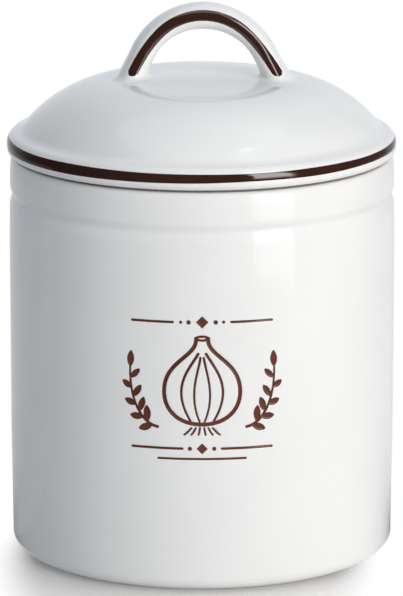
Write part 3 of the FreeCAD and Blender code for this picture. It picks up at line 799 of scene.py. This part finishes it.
def dome_arcs():
    """Centre and radius of the crown's arc and of the shoulder's, which leaves the crown smoothly."""
    foot = LID_RADIUS - BRIM_LEDGE
    crown_radius = (CROWN_REACH**2 + CROWN_DROP**2) / (2 * CROWN_DROP)
    slope = math.asin(CROWN_REACH / crown_radius)
    across, fall = foot - CROWN_REACH, DOME_TOP - CROWN_DROP - BRIM_TOP
    shoulder_radius = (across**2 + fall**2) / (2 * (fall * math.cos(slope) - across * math.sin(slope)))
    shoulder_centre = (
        CROWN_REACH - shoulder_radius * math.sin(slope),
        DOME_TOP - CROWN_DROP - shoulder_radius * math.cos(slope),
    )
    return ((0.0, DOME_TOP - crown_radius), crown_radius), (shoulder_centre, shoulder_radius)


CROWN, SHOULDER = dome_arcs()
BEAD_CENTRE = np.array([LID_RADIUS - BEAD_RADIUS, BRIM_TOP - BEAD_RADIUS])


def dome_height(across):
    """Height of the dome's outside at a distance from the axis."""
    on_crown = CROWN[0][1] + np.sqrt(CROWN[1] ** 2 - across**2)
    outward = np.maximum(across - SHOULDER[0][0], 0)
    on_shoulder = SHOULDER[0][1] + np.sqrt(np.maximum(SHOULDER[1] ** 2 - outward**2, 0))
    return np.where(across < CROWN_REACH, on_crown, on_shoulder)


def dome_normal(across):
    """The dome's outward normal at a distance from the axis, as its share outwards and its share upwards."""
    out = np.where(across < CROWN_REACH, across / CROWN[1], (across - SHOULDER[0][0]) / SHOULDER[1])
    return out, np.sqrt(1 - out**2)


def touching_both(first, first_reach, second, second_reach):
    """The outer one of the two places at given distances from two others."""
    first, second = np.array(first), np.array(second)
    apart = np.linalg.norm(second - first)
    along = (second - first) / apart
    share = (first_reach**2 - second_reach**2 + apart**2) / (2 * apart)
    aside = math.sqrt(first_reach**2 - share**2)
    return first + along * share + aside * np.array([-along[1], along[0]])


def cove_points():
    """The hollow rounding that carries the dome's foot over into the brim's bead."""
    centre = touching_both(SHOULDER[0], SHOULDER[1] + COVE_RADIUS, BEAD_CENTRE, BEAD_RADIUS + COVE_RADIUS)
    start = math.atan2(SHOULDER[0][1] - centre[1], SHOULDER[0][0] - centre[0]) % (2 * math.pi)
    stop = math.atan2(BEAD_CENTRE[1] - centre[1], BEAD_CENTRE[0] - centre[0]) % (2 * math.pi)
    return arc_points(centre, COVE_RADIUS, start, stop, 12)


def lid_profile():
    """The lid's half section, from the top of the dome round its brim and spigot to the dome's underside."""
    cove = cove_points()
    slope = math.asin(CROWN_REACH / CROWN[1])
    foot_angle = math.atan2(cove[0][1] - SHOULDER[0][1], cove[0][0] - SHOULDER[0][0])
    crown = arc_points(*CROWN, math.pi / 2, math.pi / 2 - slope, 14)
    shoulder = arc_points(*SHOULDER, math.pi / 2 - slope, foot_angle, 22)
    bead_start = math.atan2(cove[-1][1] - BEAD_CENTRE[1], cove[-1][0] - BEAD_CENTRE[0])
    bead = arc_points(BEAD_CENTRE, BEAD_RADIUS, bead_start, 0, 16)
    brim = outline(
        [
            (LID_RADIUS, BEAD_CENTRE[1] - BEAD_SKIRT, 0),
            (LID_RADIUS, BRIM_UNDERSIDE, BRIM_EDGE_ROUNDING),
            (SPIGOT_RADIUS, BRIM_UNDERSIDE, SPIGOT_ROOT_ROUNDING),
            (SPIGOT_RADIUS, SPIGOT_FOOT, SPIGOT_ROUNDING),
            (SPIGOT_BORE, SPIGOT_FOOT, SPIGOT_ROUNDING),
            (SPIGOT_BORE, SPIGOT_FOOT + SPIGOT_BORE_HEIGHT, 0),
        ]
    )
    inner_radius = SHOULDER[1] - LID_WALL
    bore_angle = math.acos((SPIGOT_BORE - SHOULDER[0][0]) / inner_radius)
    inner_shoulder = arc_points(SHOULDER[0], inner_radius, bore_angle, math.pi / 2 - slope, 18)
    inner_crown = arc_points(CROWN[0], CROWN[1] - LID_WALL, math.pi / 2 - slope, math.pi / 2, 14)
    outside = [crown, shoulder[1:], cove[1:], bead[1:], brim]
    return divided(np.concatenate([*outside, inner_shoulder, inner_crown[1:]]))


def full_shoulder(lid):
    """The dome came out of its mould a little fuller on its right shoulder than on its left."""
    for vert in lid.data.vertices:
        across = math.hypot(vert.co.x, vert.co.y)
        if vert.co.z > BRIM_TOP and across > 0:
            share = math.exp(-(((across - SHOULDER_SWELL_PLACE) / SHOULDER_SWELL_WIDTH) ** 2))
            vert.co.z += (SHOULDER_SWELL + SHOULDER_SWELL_TO_RIGHT * vert.co.x / across) * share


def make_lid(white, clay_and_shade):
    lid = turned_piece("glazed_lid", lid_profile(), white)
    full_shoulder(lid)
    finish_piece(lid, "lid", "white_glaze", "lid")
    # Bare clay seat, and a dark layer out to the brim's edge as painted shade in the gap under the lid.
    ring = closed_outline(
        [
            (SEAT_OUTSIDE, SEAT_FACE, SEAT_ROUNDING),
            (SEAT_OUTSIDE, SHADE_LAYER_FACE, SEAT_ROUNDING),
            (SHADE_LAYER_REACH, SHADE_LAYER_FACE, 0),
            (SHADE_LAYER_REACH, SHADE_LAYER_BACK, 0),
            (SEAT_INSIDE, SHADE_LAYER_BACK, SEAT_ROUNDING),
            (SEAT_INSIDE, SEAT_FACE, SEAT_ROUNDING),
        ]
    )
    finish_piece(turned_piece("seat_clay_and_shade_layer", ring, clay_and_shade, closed=True), "lid", "bare_clay")


def line_lift(across):
    """How far a glaze line stands proud: most in its middle, at 0, and nothing at its edges, at -1 and 1."""
    return LINE_CROWN * (1 - np.abs(across) ** 3)


def wavering(angles, waves):
    return sum(size * np.sin(count * angles + phase) for size, count, phase in waves)


def make_rim_line(brown):
    """The dark line round the brim, laid by hand: its edges waver, and it thickens at one place."""
    angles = np.linspace(0, 2 * math.pi, 360, endpoint=False)
    top = BEAD_CENTRE[1] + RIM_LINE_LAP
    thicker = np.exp(-(((angles - RIM_LINE_THICK_PLACE) / RIM_LINE_THICK_SPREAD) ** 2)) * RIM_LINE_THICKENING
    upper = top + wavering(angles, RIM_LINE_UPPER_WAVES) + thicker
    lower = top - RIM_LINE_HEIGHT + wavering(angles, RIM_LINE_LOWER_WAVES) - thicker
    rows = []
    for share in np.linspace(-LINE_EDGE, LINE_EDGE, 13):
        height = (lower + upper) / 2 + (upper - lower) / 2 * share
        over = np.maximum(height - BEAD_CENTRE[1], 0)
        out = LID_RADIUS - BEAD_RADIUS + np.sqrt(BEAD_RADIUS**2 - over**2) + line_lift(share)
        rows.append(round_axis(out, angles, height))
    inwards = 1 - LINE_BODY / LID_RADIUS
    points = np.stack(rows + [row * (inwards, inwards, 1) for row in (rows[-1], rows[0])])
    faces = grid_faces(len(points), len(angles), closed_rows=True)
    finish_piece(make_piece("rim_line", points, faces, brown), "lid", "brown_glaze", "lid_rim_line")


# --- handle ---

ARC_LENGTH = ARCH_RADIUS * (math.pi / 2 - LEG_SPREAD)
LEG_LENGTH = (ARCH_CENTRE + ARCH_RADIUS * math.sin(LEG_SPREAD) - LEG_FOOT) / math.cos(LEG_SPREAD)


def bow(arcs, top, length):
    """Across, up and the outward angle, at a length down a bow of arcs that ends in a straight leg."""
    across, up, angle, start = 0.0, top, math.pi / 2, 0.0
    for radius, turn in arcs:
        next_angle = angle - np.clip(length - start, 0, radius * turn) / radius
        across = across + radius * (np.cos(next_angle) - np.cos(angle))
        up = up + radius * (np.sin(next_angle) - np.sin(angle))
        angle, start = next_angle, start + radius * turn
    beyond = np.maximum(length - start, 0)
    return across + beyond * np.sin(angle), up - beyond * np.cos(angle), angle


def handle_section(length):
    """Thickness and depth of the handle at a length down from its crown."""
    haunch = ARCH_RADIUS * (math.pi / 2 - HAUNCH_ANGLE)
    springing = ARC_LENGTH + LEG_LENGTH - (SPRINGING - LEG_FOOT) / math.cos(LEG_SPREAD)
    stations = [0, haunch, springing, ARC_LENGTH + LEG_LENGTH]
    sizes = np.array([CROWN_SECTION, HAUNCH_SECTION, SPRINGING_SECTION, FOOT_SECTION])
    return [np.interp(length, stations, sizes[:, column]) for column in (0, 1)]


def smooth_section(length):
    """The section's sizes, with the changes between stations eased."""
    shifts = np.linspace(-SECTION_EASING, SECTION_EASING, 11)
    return np.mean([handle_section(np.abs(length + shift)) for shift in shifts], axis=0)


def power(value, exponent):
    return np.sign(value) * np.abs(value) ** exponent


def handle_point(length, turn):
    """A point on the right half of the handle's surface. turn runs round the section from its outer side."""
    across, up, angle = bow(((ARCH_RADIUS, math.pi / 2 - LEG_SPREAD),), ARCH_TOP, length)
    thickness, depth = smooth_section(length)
    outward = power(np.cos(turn), 2 / SECTION_SQUARENESS) * thickness / 2
    sideways = power(np.sin(turn), 2 / SECTION_SQUARENESS) * depth / 2
    return np.stack([across + outward * np.cos(angle), sideways, up + outward * np.sin(angle)], axis=-1)


def handle_half_depth(across, up):
    """Distance from the handle's middle plane to its surface, at a place seen from the front."""
    across, rise = np.abs(across), up - ARCH_CENTRE
    angle = np.arctan2(rise, across)
    down_leg = across * math.sin(LEG_SPREAD) - rise * math.cos(LEG_SPREAD)
    from_centre = across * math.cos(LEG_SPREAD) + rise * math.sin(LEG_SPREAD)
    on_arc = angle > LEG_SPREAD
    length = np.where(on_arc, ARCH_RADIUS * (math.pi / 2 - angle), ARC_LENGTH + down_leg)
    out = np.where(on_arc, np.hypot(across, rise), from_centre) - ARCH_RADIUS
    thickness, depth = smooth_section(length)
    share = np.clip(np.abs(2 * out / thickness), 0, 0.98)
    return depth / 2 * (1 - share**SECTION_SQUARENESS) ** (1 / SECTION_SQUARENESS)


def foot_rows(turn):
    """Rows that carry the leg's surface into the dome through a hollow fillet, and then under the dome."""
    low, high = np.full_like(turn, ARC_LENGTH * 0.5), np.full_like(turn, ARC_LENGTH + LEG_LENGTH)
    for _ in range(40):
        middle = (low + high) / 2
        point = handle_point(middle, turn)
        above = point[:, 2] > dome_height(np.hypot(point[:, 0], point[:, 1]))
        low, high = np.where(above, middle, low), np.where(above, high, middle)
    corner = handle_point(low, turn)
    start = handle_point(low - FOOT_FILLET, turn)
    radius = np.hypot(corner[:, 0], corner[:, 1])
    out, up = dome_normal(radius)
    normal = np.stack([corner[:, 0] / radius * out, corner[:, 1] / radius * out, up], axis=-1)
    ahead = np.roll(corner, -1, axis=0) - np.roll(corner, 1, axis=0)
    outward = np.cross(ahead, normal)
    outward /= np.linalg.norm(outward, axis=1)[:, None]
    tucked = []
    for reach, sink in FOOT_TUCKS:
        place = corner + outward * (FOOT_FILLET + reach)
        place[:, 2] = dome_height(np.hypot(place[:, 0], place[:, 1])) - sink
        tucked.append(place)
    end = tucked[0]
    rows = [(1 - t) ** 2 * start + 2 * t * (1 - t) * corner + t**2 * end for t in np.linspace(0, 1, 11)]
    rows += tucked[1:]
    rows.append(np.broadcast_to(rows[-1].mean(0), corner.shape))
    return low - FOOT_FILLET, rows


def off_centre(points):
    """The handle was set by hand, a little to one side, and its feet more so than its crown."""
    share = np.clip((ARCH_TOP - points[..., 2:]) / (ARCH_TOP - DOME_TOP), 0, 1)
    return points + (CROWN_SHIFT + (FOOT_SHIFT - CROWN_SHIFT) * share) * np.array([1, 0, 0])


def make_handle(white):
    turn = np.linspace(0, 2 * math.pi, 96, endpoint=False)
    leg_ends, fillet = foot_rows(turn)
    right = [handle_point(leg_ends * share, turn) for share in np.linspace(0, 1, 91)[:-1]] + fillet
    left = [row * (-1, 1, 1) for row in right[1:]]
    points = off_centre(np.stack(left[::-1] + right))
    handle = make_piece("glazed_handle", points, grid_faces(len(points), len(turn)), white)
    finish_piece(handle, "lid", "white_glaze", "lid_handle")


def make_handle_line(name, node, side, brown):
    """The dark line on one edge of the handle, narrower towards its feet and round at its ends."""
    columns, steps = 13, 150
    arcs_length = sum(radius * turn for radius, turn in HANDLE_LINE_ARCS)
    _, arcs_end, end_angle = bow(HANDLE_LINE_ARCS, HANDLE_LINE_TOP, arcs_length)
    half_length = arcs_length + (arcs_end - HANDLE_LINE_FOOT) / np.cos(end_angle)
    along = half_length * np.sin(np.linspace(-math.pi / 2, math.pi / 2, steps + 1))[:, None]
    from_middle = np.abs(along / half_length)
    to_end = np.clip((half_length - np.abs(along)) / (HANDLE_LINE_WIDTH_AT_FOOT / 2), 0, 1)
    width = HANDLE_LINE_WIDTH + (HANDLE_LINE_WIDTH_AT_FOOT - HANDLE_LINE_WIDTH) * from_middle
    width = width * np.sqrt(1 - (1 - to_end) ** 2) + HANDLE_LINE_TIP
    share = np.linspace(-LINE_EDGE, LINE_EDGE, columns)[None]
    across, up, angle = bow(HANDLE_LINE_ARCS, HANDLE_LINE_TOP, np.abs(along))
    waver = HANDLE_LINE_WAVER * np.sin(2 * math.pi * along / HANDLE_LINE_WAVELENGTH + 0.8)
    out = share * width / 2 + waver
    x = (across + out * np.cos(angle)) * np.sign(along) + HANDLE_LINE_LEAN * from_middle**3
    z = up + out * np.sin(angle)
    depth = handle_half_depth(x, z)
    top = depth + line_lift(share) - from_middle**40 * LINE_END_DIP
    outer = np.stack([x, side * top, z], axis=-1)
    inner = np.stack([x, side * (depth - LINE_BODY), z], axis=-1)
    loop = off_centre(np.concatenate([outer, inner[:, ::-1]], axis=1))
    end = np.arange(2 * columns)
    faces = [*grid_faces(steps + 1, 2 * columns), end, end + steps * 2 * columns]
    finish_piece(make_piece(name, loop, faces, brown), "lid", "brown_glaze", node)


# --- studio ---


def seen_directly(tree):
    """1 for rays that show the background: from the camera, from glossy surfaces and through glass."""
    rays = add(tree, "LightPath", {}).node.outputs
    either = add(tree, "Math", {0: rays["Is Camera Ray"], 1: rays["Is Glossy Ray"]}, operation="MAXIMUM")
    return add(tree, "Math", {0: either, 1: rays["Is Transmission Ray"]}, operation="MAXIMUM")


def make_world():
    world = bpy.data.worlds.new("studio")
    bpy.context.scene.world = world
    world.use_nodes = True
    tree = world.node_tree
    light = tree.nodes["Background"]
    fill(light, {"Color": (*SKY_COLOUR, 1), "Strength": SKY_LEVEL})
    white = add(tree, "Background", {"Color": (1, 1, 1, 1)})
    fill(tree.nodes["World Output"], {"Surface": add_mix(tree, seen_directly(tree), light.outputs[0], white)})


def make_floor():
    """A floor that looks white and keeps the object's shadow, with painted shade added near the object, but
    throws back no more light than grey card.

    Away from the object it turns into plain white, so that it has no horizon.
    """
    material, tree = new_material("floor")
    place = add_place(tree)
    off_patch = add(tree, "VectorMath", {0: place, 1: PATCH_CENTRE}, "Value", operation="DISTANCE")
    grey = add(tree, "BsdfDiffuse", {"Color": add_range(tree, off_patch, *PATCH_FADE, 1.0, FLOOR_GREY)})

    # Painted shade: darker where the object closes the floor in, and darker on the left than on the right.
    contact_shade = add(tree, "AmbientOcclusion", {"Distance": CONTACT_SHADE_REACH}, "AO")
    side = add_range(tree, add(tree, "SeparateXYZ", {0: place}, "X"), *SIDE_SHADE_RANGE)
    tones = {0: add_range(tree, contact_shade, *CONTACT_SHADE_RANGE), 1: side}
    shade = add(tree, "Math", tones, operation="MULTIPLY")
    tinted = add(tree, "VectorMath", {0: shade, 1: SHADOW_TINT}, operation="MULTIPLY")
    pale = add(tree, "BsdfDiffuse", {"Color": tinted})
    near = add(tree, "AddShader", {0: pale, 1: add(tree, "Emission", {"Strength": FLOOR_GLOW})})

    centre = (-SHADOW_CENTRE[0], -SHADOW_CENTRE[1] * SHADOW_STRETCH, 0)
    around = add(tree, "Mapping", {"Vector": place, "Location": centre, "Scale": (1, SHADOW_STRETCH, 1)})
    distance = add(tree, "VectorMath", {0: around}, "Value", operation="LENGTH")
    fade = add_range(tree, distance, *SHADOW_FADE, interpolation_type="SMOOTHSTEP")
    shown = add_mix(tree, fade, near, add(tree, "Emission", {}))
    show(tree, add_mix(tree, seen_directly(tree), grey, shown))
    corners = [(x * FLOOR_HALF, y * FLOOR_HALF, 0) for x, y in ((-1, -1), (1, -1), (1, 1), (-1, 1))]
    make_piece("floor", corners, [(0, 1, 2, 3)], material)


def add_card(tree, around, tones):
    """A card that glows in greys by azimuth. Its source is 0.5 at 90 degrees and grows with azimuth."""
    stops = sorted((((azimuth - 90) / 360 + 0.5) % 1, tone) for azimuth, tone in tones)
    greys = [(value, [share * tone for share in FLAG_TINT]) for value, tone in stops]
    return add(tree, "Emission", {"Color": add_colours(tree, around, greys)})


def make_flag():
    """Dark and grey card that lies on the table and stands round it, with a gap in it where the window is."""
    material, tree = new_material("flag")
    place = add_place(tree)
    around = add(tree, "TexGradient", {"Vector": place}, gradient_type="RADIAL")
    above = add_range(tree, add(tree, "SeparateXYZ", {0: place}, "Z"), *FLAG_STEP)
    cards = [add_card(tree, around, tones) for tones in (FLAG_LOW_TONES, FLAG_HIGH_TONES)]
    show(tree, add_mix(tree, above, *cards))
    pot_edge = (POT_RADIUS + MM, CARD_LIFT)
    points, faces = [], []
    for span, profile in (
        (FLAG_SPAN, [pot_edge, (FLAG_RADIUS, CARD_LIFT), (FLAG_RADIUS, FLAG_HEIGHT)]),
        (FLAG_GAP, [pot_edge, (TABLE_EDGE, CARD_LIFT)]),
    ):
        quads = grid_faces(len(profile), FLAG_COLUMNS)
        not_closing = quads[:, 0] % FLAG_COLUMNS < FLAG_COLUMNS - 1
        faces.append(quads[not_closing] + sum(map(len, points)))
        angles = np.radians(np.linspace(*span, FLAG_COLUMNS))
        points.append(turned(np.array(profile), angles).reshape(-1, 3))
    hide_but_for_reflections(make_piece("flag", np.concatenate(points), np.concatenate(faces), material))


def make_low_window():
    """The foot of the window, which reflections show past the table's edge, as a glowing sheet."""
    material, tree = new_material("low_window")
    show(tree, add(tree, "Emission", {"Strength": LOW_WINDOW_GLOW}))
    edges = np.array([(TABLE_EDGE, MM), (LOW_WINDOW_END, MM)])
    corners = turned(edges, np.radians(LOW_WINDOW_SPAN))
    hide_but_for_reflections(make_piece("low_window", corners, [(0, 1, 3, 2)], material))


def hide_but_for_reflections(card):
    """Make a card show in reflections alone, as no part of the object."""
    for rays in ("camera", "diffuse", "shadow", "transmission"):
        setattr(card, "visible_" + rays, False)


def add_facing(name, data, target, azimuth, elevation, distance):
    """A camera or lamp that faces a target, from an azimuth and an elevation in degrees."""
    turn, rise = math.radians(azimuth), math.radians(elevation)
    away = np.array([math.sin(turn) * math.cos(rise), -math.cos(turn) * math.cos(rise), math.sin(rise)])
    thing = bpy.data.objects.new(name, data)
    bpy.context.scene.collection.objects.link(thing)
    thing.location = target + distance * away
    thing.rotation_euler = Vector(-away).to_track_quat("-Z", "Y").to_euler()
    return thing


def make_lamps():
    """The rectangular soft lamps."""
    for name, (target, azimuth, elevation, distance, size, watts, colour, mirrored) in LAMPS.items():
        lamp = bpy.data.lights.new(name, "AREA")
        lamp.shape = "RECTANGLE"
        lamp.size, lamp.size_y = size
        lamp.energy = watts
        lamp.color = colour
        add_facing(name, lamp, target, azimuth, elevation, distance).visible_glossy = mirrored


def make_camera():
    data = bpy.data.cameras.new("camera")
    data.lens = CAMERA_LENS
    data.clip_end = CAMERA_REACH
    bpy.context.scene.camera = add_facing("camera", data, CAMERA_TARGET, 0, CAMERA_ELEVATION, CAMERA_DISTANCE)


# --- whole scene ---


def main():
    make_camera()
    make_world()
    make_floor()
    make_flag()
    make_low_window()
    make_lamps()
    white, brown, stain = [glaze(name, *looks) for name, looks in GLAZES.items()]
    # Bare clay, darkened as painted shade for the gap under the lid.
    clay_and_shade = clay("bare_clay")
    make_pot(white, stain)
    make_foot(clay_and_shade)
    make_lid(white, clay_and_shade)
    make_rim_line(brown)
    make_handle(white)
    make_handle_line("handle_line_in_front", "handle_line_front", -1, brown)
    make_handle_line("handle_line_behind", "handle_line_back", 1, brown)
    bpy.context.scene.view_settings.view_transform = "Standard"


main()
